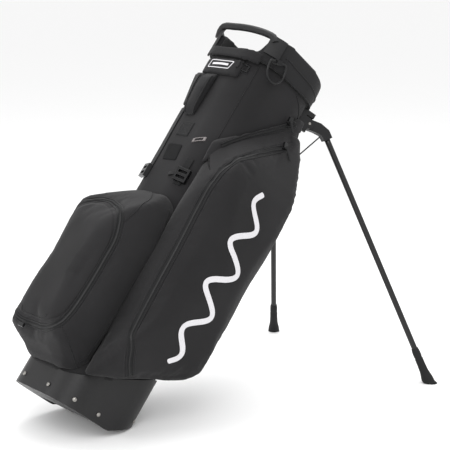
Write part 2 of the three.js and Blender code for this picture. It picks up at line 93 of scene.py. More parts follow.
def surface(name, grid, wrap_rows=False, wrap_columns=True, capped=True, uv_size=None):
    """Quads join neighbouring points of a rows by columns grid. A wrapped direction closes on itself,
    and a capped end row is closed by a fan about its mean point. Faces are turned to point outwards."""
    rows, columns = grid.shape[:2]
    index = np.arange(rows * columns).reshape(rows, columns)
    if wrap_rows:
        index = np.vstack([index, index[:1]])
    if wrap_columns:
        index = np.hstack([index, index[:, :1]])
    quads = np.stack([index[:-1, :-1], index[:-1, 1:], index[1:, 1:], index[1:, :-1]], -1)
    faces = quads.reshape(-1, 4).tolist()
    points = grid.reshape(-1, 3)
    if capped and not wrap_rows:
        middle = rows * columns
        points = np.vstack([points, grid[0].mean(0), grid[-1].mean(0)])
        first, last = index[0], index[-1]
        faces += np.stack([np.full(len(first) - 1, middle), first[1:], first[:-1]], -1).tolist()
        faces += np.stack([np.full(len(last) - 1, middle + 1), last[:-1], last[1:]], -1).tolist()
    mesh = bpy.data.meshes.new(name)
    mesh.from_pydata(points.tolist(), [], faces)
    if uv_size:
        r, c = np.meshgrid(np.arange(quads.shape[0]), np.arange(quads.shape[1]), indexing="ij")
        corner_r = np.stack([r, r, r + 1, r + 1], -1).reshape(-1)
        corner_c = np.stack([c, c + 1, c + 1, c], -1).reshape(-1)
        uv = np.zeros((len(mesh.loops), 2))
        uv[:len(corner_r), 0] = corner_c * uv_size[0] / columns
        uv[:len(corner_r), 1] = corner_r * uv_size[1] / (rows - 1)
        mesh.uv_layers.new(name="UVMap").data.foreach_set("uv", uv.reshape(-1).astype(np.float32))
    return closed_object(name, mesh)


def closed_object(name, mesh):
    """An object of the mesh, smooth shaded, its faces turned out if the volume that they hold is negative."""
    mesh.validate()
    mesh.update()
    bm = bmesh.new()
    bm.from_mesh(mesh)
    if bm.calc_volume(signed=True) < 0:
        bmesh.ops.reverse_faces(bm, faces=bm.faces)
    bm.to_mesh(mesh)
    bm.free()
    mesh.shade_smooth()
    made = bpy.data.objects.new(name, mesh)
    bpy.context.scene.collection.objects.link(made)
    return made


def curve_through(points, count, closed=False):
    """A Catmull-Rom curve through the points, cut again into equal steps of arc length."""
    p = np.asarray(points, float)
    ends = (p[-1:], p[:2]) if closed else (2 * p[:1] - p[1:2], 2 * p[-1:] - p[-2:-1])
    ring = np.vstack([ends[0], p, ends[1]])
    t = np.linspace(0, 1, 24, endpoint=False)[:, None, None]
    a, b, c, d = ring[:-3], ring[1:-2], ring[2:-1], ring[3:]
    dense = 0.5 * (2 * b + (c - a) * t + (2 * a - 5 * b + 4 * c - d) * t ** 2
                   + (3 * b - a - 3 * c + d) * t ** 3)
    dense = dense.transpose(1, 0, 2).reshape(-1, p.shape[1])
    dense = np.vstack([dense, p[:1] if closed else p[-1:]])
    walked = np.concatenate([[0], np.cumsum(np.linalg.norm(np.diff(dense, axis=0), axis=1))])
    steps = np.linspace(0, walked[-1], count, endpoint=not closed)
    return np.stack([np.interp(steps, walked, dense[:, k]) for k in range(p.shape[1])], -1)


def smoothed(values, rounds, closed=False):
    """Each value becomes the mean of itself and its two neighbours, with weights 2, 1 and 1, and so on for
    some rounds."""
    for _ in range(rounds):
        if closed:
            values = (np.roll(values, 1, 0) + 2 * values + np.roll(values, -1, 0)) / 4
        else:
            inner = (values[:-2] + 2 * values[1:-1] + values[2:]) / 4
            values = np.vstack([values[:1], inner, values[-1:]])
    return values


def round_section(radius, count=10, flat=1.0):
    """A circle of count points, its height multiplied by flat."""
    angle = np.arange(count) * 2 * math.pi / count
    return np.stack([radius * np.cos(angle), radius * flat * np.sin(angle)], -1)


def strip_section(width, height, base=0.0):
    """A flat strip with soft edges: a superellipse of exponent 6, standing on base."""
    angle = np.arange(16) * math.pi / 8
    c, s = np.cos(angle), np.sin(angle)
    side = np.sign(c) * np.abs(c) ** (1 / 3) * width / 2
    rise = np.sign(s) * np.abs(s) ** (1 / 3) * height / 2
    return np.stack([side, rise + base + height / 2], -1)


def sweep(name, path, normals, section, closed=False, scale=None):
    """Carries a flat section along a path: a section point (s, n) lies s to the side of the path, along
    normal x tangent, and n out along the normal. scale multiplies the section step by step."""
    ahead = np.roll(path, -1, 0) - np.roll(path, 1, 0)
    if not closed:
        ahead[0], ahead[-1] = path[1] - path[0], path[-1] - path[-2]
    tangent = unit(ahead)
    side = unit(np.cross(normals, tangent))
    out = np.cross(tangent, side)
    size = np.ones(len(path)) if scale is None else np.asarray(scale, float)
    s = section[None, :, 0:1] * size[:, None, None]
    n = section[None, :, 1:2] * size[:, None, None]
    grid = path[:, None] + side[:, None] * s + out[:, None] * n
    return surface(name, grid, wrap_rows=closed, capped=not closed)


def rounded_loop(depth, width, radius, per_corner=40):
    """A rounded rectangle of half sizes depth and width: four quarter circles joined by straight sides."""
    angle = np.linspace(0, math.pi / 2, per_corner)
    points = []
    for corner in range(4):
        turn = angle + corner * math.pi / 2
        middle = (np.sign(math.cos(corner * math.pi / 2 + 0.5)) * (depth - radius),
                  np.sign(math.sin(corner * math.pi / 2 + 0.5)) * (width - radius))
        points.append(np.stack([middle[0] + radius * np.cos(turn), middle[1] + radius * np.sin(turn)], -1))
    return np.vstack(points)


def outside_body(f, y, grow=0.0):
    """Distance in mm from the body's outer wall, a rounded rectangle; it is negative inside."""
    qx = np.abs(f) - (BODY["depth"] - BODY["radius"])
    qy = np.abs(y) - (BODY["width"] - BODY["radius"])
    reach = np.hypot(np.maximum(qx, 0), np.maximum(qy, 0)) + np.minimum(np.maximum(qx, qy), 0)
    return reach - BODY["radius"] - grow


def tree_of(*objects):
    """One search tree over the objects' finished surfaces."""
    deps = bpy.context.evaluated_depsgraph_get()
    points, faces = [], []
    for o in objects:
        mesh = o.evaluated_get(deps).data
        co = np.empty(len(mesh.vertices) * 3)
        mesh.vertices.foreach_get("co", co)
        start = len(points)
        points += co.reshape(-1, 3).tolist()
        faces += [[start + i for i in face.vertices] for face in mesh.polygons]
    return BVHTree.FromPolygons(points, faces)


def hug(points, tree, lift=0.0, rounds=3, closed=False):
    """Moves each point to the nearest place of a surface and out along its normal by lift, in metres."""
    found = [tree.find_nearest(Vector(p)) for p in points]
    place = np.array([f[0] for f in found])
    normal = unit(smoothed(np.array([f[1] for f in found]), rounds, closed))
    return place + normal * lift, normal


def laid(points, tree, count, lift=0.0, rounds=3, closed=False):
    """A curve through points of the bag frame, laid on a surface and evened out there."""
    path, _ = hug(world(curve_through(points, count, closed)), tree, 0, rounds, closed)
    path = smoothed(path, rounds, closed)
    return hug(path, tree, lift, rounds, closed)


def beside(path, normals, tree, shift, lift=0.0):
    """The line that runs beside a laid path, shift metres to its side on the same surface."""
    tangent = unit(np.gradient(path, axis=0))
    return hug(path + unit(np.cross(normals, tangent)) * shift, tree, lift)


def stitches(name, path, normals, length=3.2, gap=1.5, radius=0.35):
    """A row of stitches: short round-ended bars, length along the path and gap apart, half sunk in."""
    walked = np.concatenate([[0], np.cumsum(np.linalg.norm(np.diff(path, axis=0), axis=1))])
    count = max(int(walked[-1] / ((length + gap) * MM)), 2)
    steps = (np.arange(count) + 0.5) * walked[-1] / count
    at = np.stack([np.interp(steps, walked, path[:, k]) for k in range(3)], -1)
    out = unit(np.stack([np.interp(steps, walked, normals[:, k]) for k in range(3)], -1))
    tangent = unit(np.stack([np.interp(steps, walked, np.gradient(path[:, k])) for k in range(3)], -1))
    side = unit(np.cross(out, tangent))
    along = np.array([-0.5, -0.38, 0.38, 0.5]) * length * MM
    girth = np.array([0.35, 1, 1, 0.35]) * radius * MM
    turn = np.arange(5) * 2 * math.pi / 5
    ring = (side[:, None, None] * np.cos(turn)[:, None] + out[:, None, None] * np.sin(turn)[:, None])
    points = at[:, None, None] + tangent[:, None, None] * along[:, None, None] + ring * girth[:, None, None]
    index = np.arange(count * 20).reshape(count, 4, 5)
    turned = np.roll(index, -1, 2)
    quads = np.stack([index[:, :-1], turned[:, :-1], turned[:, 1:], index[:, 1:]], -1).reshape(-1, 4)
    faces = quads.tolist() + index[:, 0, ::-1].tolist() + index[:, 3].tolist()
    mesh = bpy.data.meshes.new(name)
    mesh.from_pydata(points.reshape(-1, 3).tolist(), [], faces)
    return closed_object(name, mesh)


# ---------------------------------------------------------------- materials

def node_group(name, inputs, outputs):
    """An empty shader group with float, colour or vector sockets."""
    group = bpy.data.node_groups.new(name, "ShaderNodeTree")
    for label, kind, value in inputs:
        socket = group.interface.new_socket(name=label, in_out="INPUT", socket_type=f"NodeSocket{kind}")
        socket.default_value = value
    for label, kind in outputs:
        group.interface.new_socket(name=label, in_out="OUTPUT", socket_type=f"NodeSocket{kind}")
    return group


class Net:
    """Short calls for the nodes of one tree."""

    def __init__(self, tree):
        """Keeps the tree that the nodes go into."""
        self.tree = tree

    def put(self, kind, settings=None, **links):
        """A new node. Each link or value goes to the input of its name, or of its number after an i."""
        node = self.tree.nodes.new(f"ShaderNode{kind}")
        for key, value in (settings or {}).items():
            setattr(node, key, value)
        for key, value in links.items():
            socket = node.inputs[int(key[1:])] if key[1:].isdigit() else node.inputs[key.replace("_", " ")]
            if isinstance(value, bpy.types.NodeSocket):
                self.tree.links.new(value, socket)
            else:
                socket.default_value = value
        return node

    def math(self, operation, a, b=0.0, c=0.0):
        """The operation of up to three numbers."""
        return self.put("Math", {"operation": operation}, i0=a, i1=b, i2=c).outputs[0]

    def noise(self, place, scale, detail=2.0):
        """Smooth noise from 0 to 1, finer as the scale grows."""
        return self.put("TexNoise", None, Vector=place, Scale=scale, Detail=detail).outputs["Fac"]

    def between(self, value, low, high, to_low, to_high):
        """The value's way from low to high, carried over to the way from to_low to to_high."""
        return self.put("MapRange", None, Value=value, From_Min=low, From_Max=high, To_Min=to_low,
                        To_Max=to_high).outputs[0]

    def tinted(self, colour, amount):
        """The colour times an amount that changes over the surface."""
        node = self.put("Mix", {"data_type": "RGBA", "blend_type": "MULTIPLY"}, i0=1.0, i6=colour)
        grey = self.put("CombineColor", None, Red=amount, Green=amount, Blue=amount).outputs[0]
        self.tree.links.new(grey, node.inputs[7])
        return node.outputs[2]


def bag_place(net):
    """Object coordinates turned by the lean, so that a weave runs up and across the bag."""
    place = net.put("TexCoord").outputs["Object"]
    return net.put("Mapping", None, Vector=place, Rotation=(0.0, -LEAN, 0.0)).outputs[0]


def weave_group():
    """Plain weave: the height is sin(pi (f + y) / pitch) sin(pi a / pitch), with slubs and broad fading."""
    group = node_group("cloth_weave", [("Colour", "Color", (0.03, 0.03, 0.03, 1)), ("Pitch", "Float", 0.0011),
                                       ("Roughness", "Float", 0.8), ("Fading", "Float", 0.3)],
                       [("Colour", "Color"), ("Roughness", "Float"), ("Height", "Float")])
    net = Net(group)
    given = group.nodes.new("NodeGroupInput").outputs
    put_out = group.nodes.new("NodeGroupOutput")
    place = bag_place(net)
    xyz = net.put("SeparateXYZ", None, Vector=place).outputs
    turn = net.math("DIVIDE", math.pi, given["Pitch"])
    across = net.math("SINE", net.math("MULTIPLY", net.math("ADD", xyz[0], xyz[1]), turn))
    along = net.math("SINE", net.math("MULTIPLY", xyz[2], turn))
    weave = net.math("MULTIPLY", across, along)
    slub = net.noise(place, 900.0, 1.0)
    broad = net.noise(place, 7.0, 3.0)
    height = net.math("MULTIPLY_ADD", weave, 0.35, net.math("MULTIPLY", slub, 0.6))
    fade = net.between(broad, 0.3, 0.7, -1.0, 1.0)
    shade = net.math("MULTIPLY_ADD", fade, given["Fading"], 1.0)
    shade = net.math("MULTIPLY_ADD", weave, 0.10, shade)
    shade = net.math("MULTIPLY_ADD", net.math("SUBTRACT", slub, 0.5), 0.35, shade)
    rough = net.math("MULTIPLY_ADD", fade, 0.05, given["Roughness"])
    group.links.new(net.tinted(given["Colour"], shade), put_out.inputs["Colour"])
    group.links.new(rough, put_out.inputs["Roughness"])
    group.links.new(height, put_out.inputs["Height"])
    return group


def grain_group():
    """Moulded grain: fine noise for the height, worn lighter edges, and dust and hand marks in patches."""
    group = node_group("moulded_grain", [("Colour", "Color", (0.02, 0.02, 0.02, 1)),
                                         ("Scale", "Float", 900.0), ("Roughness", "Float", 0.5),
                                         ("Wear", "Float", 0.5)],
                       [("Colour", "Color"), ("Roughness", "Float"), ("Height", "Float")])
    net = Net(group)
    given = group.nodes.new("NodeGroupInput").outputs
    put_out = group.nodes.new("NodeGroupOutput")
    place = net.put("TexCoord").outputs["Object"]
    fine = net.noise(place, given["Scale"], 2.0)
    marks = net.noise(place, 28.0, 4.0)
    edge = net.between(net.put("NewGeometry").outputs["Pointiness"], 0.52, 0.62, 0.0, 1.0)
    edge = net.math("MULTIPLY", edge, net.between(net.noise(place, 160.0, 3.0), 0.4, 0.6, 0.2, 1.0))
    shade = net.math("MULTIPLY_ADD", net.math("SUBTRACT", marks, 0.5), 0.5, 1.0)
    shade = net.math("MULTIPLY_ADD", net.math("MULTIPLY", edge, given["Wear"]), 1.2, shade)
    rough = net.math("MULTIPLY_ADD", net.math("SUBTRACT", marks, 0.5), 0.25, given["Roughness"])
    group.links.new(net.tinted(given["Colour"], shade), put_out.inputs["Colour"])
    group.links.new(rough, put_out.inputs["Roughness"])
    group.links.new(fine, put_out.inputs["Height"])
    return group


WEAVE = weave_group()
GRAIN = grain_group()


def finish_of(name, group, values, bump, **constants):
    """A Principled material fed by a group, with its constants set on the shader's own sockets."""
    material = bpy.data.materials.new(name)
    material.use_nodes = True
    net = Net(material.node_tree)
    shader = material.node_tree.nodes["Principled BSDF"]
    made = material.node_tree.nodes.new("ShaderNodeGroup")
    made.node_tree = group
    for key, value in values.items():
        made.inputs[key].default_value = value
    relief = net.put("Bump", None, Strength=bump[0], Distance=bump[1], Height=made.outputs["Height"])
    material.node_tree.links.new(made.outputs["Colour"], shader.inputs["Base Color"])
    material.node_tree.links.new(made.outputs["Roughness"], shader.inputs["Roughness"])
    material.node_tree.links.new(relief.outputs[0], shader.inputs["Normal"])
    for key, value in constants.items():
        shader.inputs[key.replace("_", " ")].default_value = value
    return material


def cloth(name, colour, pitch=0.0011, roughness=0.82, fading=0.22, sheen=0.07, bump=0.5):
    """Woven cloth of one colour: the weave's values, and a soft sheen."""
    values = {"Colour": (*colour, 1), "Pitch": pitch, "Roughness": roughness, "Fading": fading}
    return finish_of(name, WEAVE, values, (bump, 0.0005), Sheen_Weight=sheen, Sheen_Roughness=0.5,
                     Specular_IOR_Level=0.15)


def moulded(name, colour, roughness=0.5, scale=900.0, wear=0.4, bump=0.15, **constants):
    """A moulded or metal finish of one colour: the grain's values, and any constants of its own."""
    values = {"Colour": (*colour, 1), "Scale": scale, "Roughness": roughness, "Wear": wear}
    constants.setdefault("Specular_IOR_Level", 0.28)
    return finish_of(name, GRAIN, values, (bump, 0.0004), **constants)


def twill_tube(name):
    """Lacquered woven tube: a twill of u + v against u - v on the tube's own UV, darker in one weft."""
    material = bpy.data.materials.new(name)
    material.use_nodes = True
    net = Net(material.node_tree)
    shader = material.node_tree.nodes["Principled BSDF"]
    uv = net.put("SeparateXYZ", None, Vector=net.put("UVMap", {"uv_map": "UVMap"}).outputs[0]).outputs
    turn = 2 * math.pi / 0.0045
    first = net.math("SINE", net.math("MULTIPLY", net.math("ADD", uv[0], uv[1]), turn))
    second = net.math("SINE", net.math("MULTIPLY", net.math("SUBTRACT", uv[0], uv[1]), turn))
    twill = net.between(net.math("MULTIPLY", first, second), -0.4, 0.4, 0.0, 1.0)
    colour = net.put("Mix", {"data_type": "RGBA"}, i0=twill, i6=(0.004, 0.004, 0.0042, 1),
                     i7=(0.017, 0.0165, 0.0165, 1)).outputs[2]
    relief = net.put("Bump", None, Strength=0.15, Distance=0.0003, Height=twill)
    material.node_tree.links.new(colour, shader.inputs["Base Color"])
    material.node_tree.links.new(net.between(twill, 0, 1, 0.38, 0.28), shader.inputs["Roughness"])
    material.node_tree.links.new(relief.outputs[0], shader.inputs["Normal"])
    shader.inputs["Coat Weight"].default_value = 0.12
    shader.inputs["Specular IOR Level"].default_value = 0.3
    shader.inputs["Coat Roughness"].default_value = 0.15
    return material


BAG_CLOTH = cloth("bag_cloth", (0.0140, 0.0136, 0.0143))
SIDE_CLOTH = cloth("side_cloth", (0.0130, 0.0129, 0.0135))
STRAP_CLOTH = cloth("strap_cloth", (0.0115, 0.0113, 0.0120), pitch=0.0016, bump=0.7)
LINING = cloth("lining_cloth", (0.009, 0.009, 0.0095), pitch=0.0009, sheen=0.03)
WEBBING = cloth("webbing", (0.0095, 0.0095, 0.010), pitch=0.0019, roughness=0.7, bump=0.9, fading=0.1)
PIPING = cloth("piping_cord", (0.0085, 0.0085, 0.009), pitch=0.0008, roughness=0.6, fading=0.1)
THREAD = cloth("thread", (0.032, 0.031, 0.033), pitch=0.0005, roughness=0.55, fading=0.1)
PALE_PRINT = cloth("pale_print", (0.62, 0.61, 0.63), pitch=0.0011, roughness=0.55, fading=0.03, sheen=0.0,
                   bump=0.25)
HOOKS = moulded("hook_pile", (0.0045, 0.0045, 0.005), 0.95, scale=1500.0, wear=0.0, bump=1.0)
ZIP_COIL = moulded("zip_coil", (0.012, 0.012, 0.0125), 0.42, wear=0.3)
PLASTIC = moulded("moulded_plastic", (0.0085, 0.0085, 0.009), 0.48)
BASE_PLASTIC = moulded("base_plastic", (0.0100, 0.0098, 0.0102), 0.44, scale=700.0, wear=0.6)
GLOSS = moulded("buckle_plastic", (0.007, 0.007, 0.0075), 0.30, scale=500.0, bump=0.05)
GREY_LOOP = moulded("grey_loop_plastic", (0.17, 0.155, 0.155), 0.45, scale=500.0, bump=0.08)
RUBBER = moulded("tread_rubber", (0.009, 0.009, 0.0095), 0.72, scale=600.0, wear=0.8, bump=0.35)
BLACK_STEEL = moulded("black_coated_steel", (0.012, 0.012, 0.013), 0.35, scale=1200.0, wear=0.2,
                      bump=0.05)
STEEL = moulded("satin_steel", (0.26, 0.25, 0.235), 0.32, scale=1200.0, wear=0.3, bump=0.08, Metallic=1.0)
TUBE = twill_tube("woven_tube")


def dress(piece, material, body="bag", replaces=()):
    """Gives a finished piece its material, the body that it rides on and the nodes that
    it replaces."""
    piece.data.materials.clear()
    piece.data.materials.append(material)
    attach(piece, body)
    if replaces:
        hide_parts(*replaces)
    return piece


# ---------------------------------------------------------------- padded and bevelled copies

def merged_copy(name, node):
    """A copy of a CAD node's mesh with its doubled points merged and its flat faces joined."""
    bm = bmesh.new()
    bm.from_mesh(frame["nodes"][node].data)
    bmesh.ops.remove_doubles(bm, verts=bm.verts, dist=2e-5)
    bmesh.ops.dissolve_limit(bm, angle_limit=math.radians(1.0), verts=bm.verts, edges=bm.edges)
    mesh = bpy.data.meshes.new(name)
    bm.to_mesh(mesh)
    bm.free()
    made = bpy.data.objects.new(name, mesh)
    bpy.context.scene.collection.objects.link(made)
    return made


def applied(piece):
    """The piece with all its modifiers put into its mesh."""
    deps = bpy.context.evaluated_depsgraph_get()
    mesh = bpy.data.meshes.new_from_object(piece.evaluated_get(deps))
    piece.modifiers.clear()
    piece.data = mesh
    return piece


def bevelled(node, name, width=1.0, angle=34.0, segments=2):
    """A moulded part: the CAD's own shape with every edge sharper than angle rounded off."""
    made = merged_copy(name, node)
    made.data.shade_smooth()
    bevel = made.modifiers.new("rounded_edges", "BEVEL")
    bevel.width = width * MM
    bevel.segments = segments
    bevel.limit_method = "ANGLE"
    bevel.angle_limit = math.radians(angle)
    bevel.use_clamp_overlap = True
    made.modifiers.new("even_normals", "WEIGHTED_NORMAL").keep_sharp = True
    return made


def points_of(piece):
    """A row of three coordinates for each vertex, in metres."""
    co = np.empty(len(piece.data.vertices) * 3)
    piece.data.vertices.foreach_get("co", co)
    return co.reshape(-1, 3)


def move_points(piece, points):
    """Puts the vertices at the points."""
    piece.data.vertices.foreach_set("co", np.asarray(points, np.float32).reshape(-1))
    piece.data.update()


def normals_of(piece):
    """A unit normal for each vertex."""
    n = np.empty(len(piece.data.vertices) * 3, np.float32)
    piece.data.vertices.foreach_get("normal", n)
    return n.reshape(-1, 3).astype(float)


def padded_piece(node, name, voxel=5.0, rounds=8, swell=1.2, cap=7.0, pressure=4.0, held=5.0):
    """Sewn and stuffed cloth: the CAD's plain solid is remeshed and its corners are relaxed, then cloth
    under a small pressure swells it, held where it is sewn to the body and nowhere moved past the cap."""
    made = merged_copy(name, node)
    remesh = made.modifiers.new("even_cloth", "REMESH")
    remesh.mode = "VOXEL"
    remesh.voxel_size = voxel * MM
    relax = made.modifiers.new("soft_corners", "SMOOTH")
    relax.factor = 0.5
    relax.iterations = rounds
    applied(made)
    rest = points_of(made)
    near = local(rest)
    sewn = outside_body(near[:, 0], near[:, 1]) < held
    group = made.vertex_groups.new(name="sewn")
    group.add(np.flatnonzero(sewn).tolist(), 1.0, "REPLACE")
    sim = made.modifiers.new("stuffing", "CLOTH")
    sim.settings.effector_weights.gravity = 0.0
    sim.settings.use_pressure = True
    sim.settings.uniform_pressure_force = pressure
    sim.settings.vertex_group_mass = "sewn"
    sim.settings.quality = 4
    sim.collision_settings.use_collision = False
    scene = bpy.context.scene
    sim.point_cache.frame_start = 1
    sim.point_cache.frame_end = 20
    for step in range(1, 21):
        scene.frame_set(step)
    deps = bpy.context.evaluated_depsgraph_get()
    swollen = made.evaluated_get(deps).data
    moved = np.empty(len(swollen.vertices) * 3)
    swollen.vertices.foreach_get("co", moved)
    made.modifiers.clear()
    made.vertex_groups.clear()
    scene.frame_set(1)
    shift = moved.reshape(-1, 3) - rest
    length = np.linalg.norm(shift, axis=1, keepdims=True)
    shift *= np.minimum(1.0, cap * MM / np.maximum(length, 1e-9))
    move_points(made, rest + shift)
    out = normals_of(made)
    folds = slow_folds(points_of(made))
    move_points(made, points_of(made) + out * ((swell + folds) * ~sewn * MM)[:, None])
    made.data.shade_smooth()
    return made


def slow_folds(points):
    """Gentle unevenness of cloth in mm: four sine waves of 90 to 200 mm in different directions, summed."""
    p = local(points)
    waves = [(0.031, 0.012, 0.040, 0.3), (-0.022, 0.038, 0.033, 1.7), (0.05, -0.03, -0.021, 2.9),
             (0.012, 0.051, -0.046, 4.1)]
    return 0.45 * sum(np.sin(p @ np.array(w[:3]) + w[3]) for w in waves)


def sewn_channel(piece, path, width, depth):
    """Draws the surface in along a path: depth times exp(-(distance / width) squared), along the normal."""
    points = points_of(piece)
    nearest = np.full(len(points), 1e9)
    for start in range(0, len(path), 20):
        gap = np.linalg.norm(points[:, None] - path[None, start:start + 20], axis=2).min(1)
        nearest = np.minimum(nearest, gap)
    pull = depth * MM * np.exp(-(nearest / (width * MM)) ** 2)
    move_points(piece, points - normals_of(piece) * pull[:, None])


def refine(piece, levels=1):
    """Adds a subdivision that rounds the faces off."""
    divide = piece.modifiers.new("fine_surface", "SUBSURF")
    divide.levels = levels
    divide.render_levels = levels
    return piece


def line_on(name, points, tree, radius, count, material, lift=0.0, closed=False,
            body="bag"):
    """A round cord of piping laid along points of the bag frame."""
    path, normals = laid(points, tree, count, lift * MM, 3, closed)
    piece = sweep(name, path, normals, round_section(radius * MM, 8), closed)
    return dress(piece, material, body), path, normals


# ---------------------------------------------------------------- camera, floor and lights

# Metres and degrees, with the lens and the sensor in millimetres.
CAMERA = {"place": (-1.5404, -2.2846, 0.9806), "tilt": 78.1, "heading": -38.9, "lens": 112.15,
          "sensor": 36.0, "reach": 50.0}
FLOOR_HALF = 30.0


def camera():
    """A long lens at the side of the bag, a little above it and looking a little down."""
    data = bpy.data.cameras.new("camera")
    made = bpy.data.objects.new("camera", data)
    bpy.context.scene.collection.objects.link(made)
    data.lens = CAMERA["lens"]
    data.sensor_width = CAMERA["sensor"]
    data.clip_end = CAMERA["reach"]
    made.location = CAMERA["place"]
    made.rotation_euler = (math.radians(CAMERA["tilt"]), 0.0, math.radians(CAMERA["heading"]))
    bpy.context.scene.camera = made


def studio():
    """A pale floor, an even pale sky and three large soft lights."""
    mesh = bpy.data.meshes.new("floor")
    half = FLOOR_HALF
    mesh.from_pydata([(-half, -half, 0), (half, -half, 0), (half, half, 0), (-half, half, 0)], [],
                     [(0, 1, 2, 3)])
    floor = bpy.data.objects.new("floor", mesh)
    bpy.context.scene.collection.objects.link(floor)
    pale = bpy.data.materials.new("pale_floor")
    pale.use_nodes = True
    shader = pale.node_tree.nodes["Principled BSDF"]
    shader.inputs["Base Color"].default_value = (0.93, 0.93, 0.93, 1)
    shader.inputs["Roughness"].default_value = 0.9
    shader.inputs["Specular IOR Level"].default_value = 0.1
    mesh.materials.append(pale)
    sky = bpy.data.worlds.new("sky")
    sky.use_nodes = True
    sky.node_tree.nodes["Background"].inputs["Color"].default_value = (1, 1, 1, 1)
    sky.node_tree.nodes["Background"].inputs["Strength"].default_value = 1.0
    bpy.context.scene.world = sky
    bpy.context.scene.view_settings.view_transform = "Standard"
    lights = [("key_light", (-1.6, -2.2, 2.6), 1.8, 46.0), ("top_light", (0.9, 0.5, 2.8), 2.2, 40.0),
              ("left_light", (-2.6, 0.9, 1.4), 1.4, 26.0)]
    for name, place, size, power in lights:
        data = bpy.data.lights.new(name, "AREA")
        data.shape = "SQUARE"
        data.size = size
        data.energy = power
        lamp = bpy.data.objects.new(name, data)
        bpy.context.scene.collection.objects.link(lamp)
        lamp.location = place
        aim = Vector((0.2, 0.0, 0.35)) - Vector(place)
        lamp.rotation_euler = aim.to_track_quat("-Z", "Y").to_euler()


camera()
studio()


# ---------------------------------------------------------------- body and cuff

def body_shell():
    """A rounded tube from the base to the cuff: each level is a rounded rectangle that draws in by 1.6 mm
    half way up and flares towards the base at the spine, closed over a wall of even thickness."""
    flare_top = 110.0
    levels = np.concatenate([np.linspace(BODY["bottom"], flare_top, 14), np.linspace(125, BODY["top"], 74)])
    loop = rounded_loop(BODY["depth"], BODY["width"], BODY["radius"])
    inner = rounded_loop(BODY["depth"] - BODY["wall"], BODY["width"] - BODY["wall"],
                         BODY["radius"] - BODY["wall"])
    rise = (levels - BODY["bottom"]) / (BODY["top"] - BODY["bottom"])
    draw = 1 - 0.016 * np.sin(math.pi * rise) ** 2
    outer = np.dstack([loop[None, :, 0] * draw[:, None], loop[None, :, 1] * draw[:, None],
                       np.repeat(levels[:, None], len(loop), 1)])
    flare = np.clip((flare_top - levels) / 60, 0, 1)[:, None] ** 2 * np.clip(-loop[:, 0] / 60, 0, 1)[None]
    outer[..., :2] *= 1 + 0.045 * flare[..., None]
    lining = np.dstack([inner[None, :, 0] * draw[:, None], inner[None, :, 1] * draw[:, None],
                        np.repeat(levels[:, None], len(loop), 1)])[::-1]
    grid = world(np.concatenate([outer, lining]))
    out = unit(np.dstack([outer[..., 0], outer[..., 1], 0 * outer[..., 0]]))
    fold = slow_folds(grid[:len(levels)]) * np.sin(math.pi * rise)[:, None]
    grid[:len(levels)] = world(outer + out * fold[..., None])
    return surface("bag_body", grid, wrap_rows=True)


BODY_SHELL = dress(body_shell(), BAG_CLOTH,
                   replaces=("belly_panel", "left_panel", "spine_panel", "right_panel"))
BODY_TREE = tree_of(BODY_SHELL)


def hem_skirt():
    """Cloth drawn from the base's hem in to the body: it stands past the body by 9.4 (1 - t squared) mm,
    t being the share of the way up, and dies away towards the belly."""
    loop = rounded_loop(BODY["depth"], BODY["width"], BODY["radius"])
    out = unit(loop - rounded_loop(BODY["depth"] - 5, BODY["width"] - 5, BODY["radius"] - 5))
    hem = np.interp(loop[:, 0], [-130, -105, -47, -18, 70, 130], [46, 50, 80, 89, 130, 140])
    t = np.linspace(0, 1, 16)[:, None]
    reach = 9.4 * np.clip((45 - loop[:, 0]) / 50, 0, 1)[None] * (1 - t ** 2) - 0.2
    level = hem[None] - 6 + 56 * t
    outer = np.dstack([loop[None] + out[None] * reach[..., None], level])
    inner = np.dstack([np.repeat((loop - out * 1.5)[None], 16, 0), level])[::-1]
    return surface("hem_skirt", world(np.concatenate([outer, inner])), wrap_rows=True)


dress(hem_skirt(), BAG_CLOTH)


def cuff_top(f):
    """Height of the cuff's lip: high round the sides and the belly, and low across the spine. It is the mean
    of the table read at five places, spread by up to 16 mm either way in front of the handle."""
    table = np.array([[-130, 812], [-100, 812], [-95, 818], [-90, 850], [-70, 859], [-35, 864], [19, 861],
                      [63, 854], [100, 850], [130, 846]])
    spread = np.interp(f, [-60, -20], [0, 16])
    return sum(np.interp(f + share * spread, table[:, 0], table[:, 1]) for share in (-1, -0.5, 0, 0.5, 1)) / 5


def cuff_shell():
    """A padded ring: the wall rises to the lip's height, goes over it as a half circle and down inside,
    and swells between the bottom seam and the lip seam by a sine of the height."""
    loop = rounded_loop(CUFF["depth"], CUFF["width"], CUFF["radius"], 48)
    middle = rounded_loop(CUFF["depth"] - 5, CUFF["width"] - 5, CUFF["radius"] - 5, 48)
    out = unit(loop - middle)
    top = smoothed(cuff_top(loop[:, 0])[:, None], 3, True)[:, 0]
    rise = np.linspace(0, 1, 16)
    over = np.linspace(0, math.pi, 13)
    fall = np.linspace(1, 0, 12)
    swell = 1.3 * np.sin(math.pi * rise) ** 0.7
    height = top - 5 - CUFF["bottom"]
    reach = np.concatenate([5 + swell, 5 * np.cos(over[1:-1]), np.full(12, -5.0)])
    level = np.concatenate([rise, np.ones(11), fall])
    lip = np.concatenate([np.zeros(16), 5 * np.sin(over[1:-1]), np.zeros(12)])
    flat = middle[None] + out[None] * reach[:, None, None]
    tall = CUFF["bottom"] + height[None] * level[:, None] + lip[:, None]
    return surface("cuff_ring", world(np.dstack([flat, tall])), wrap_rows=True)


CUFF_SHELL = dress(cuff_shell(), SIDE_CLOTH, replaces=("top_cuff",))
SHELL_TREE = tree_of(BODY_SHELL, CUFF_SHELL)


def divider(name, node):
    """A padded board: the CAD's box with its edges rounded by 2.2 mm."""
    made = bevelled(node, name, 2.2, segments=3)
    return dress(made, LINING, replaces=(node,))


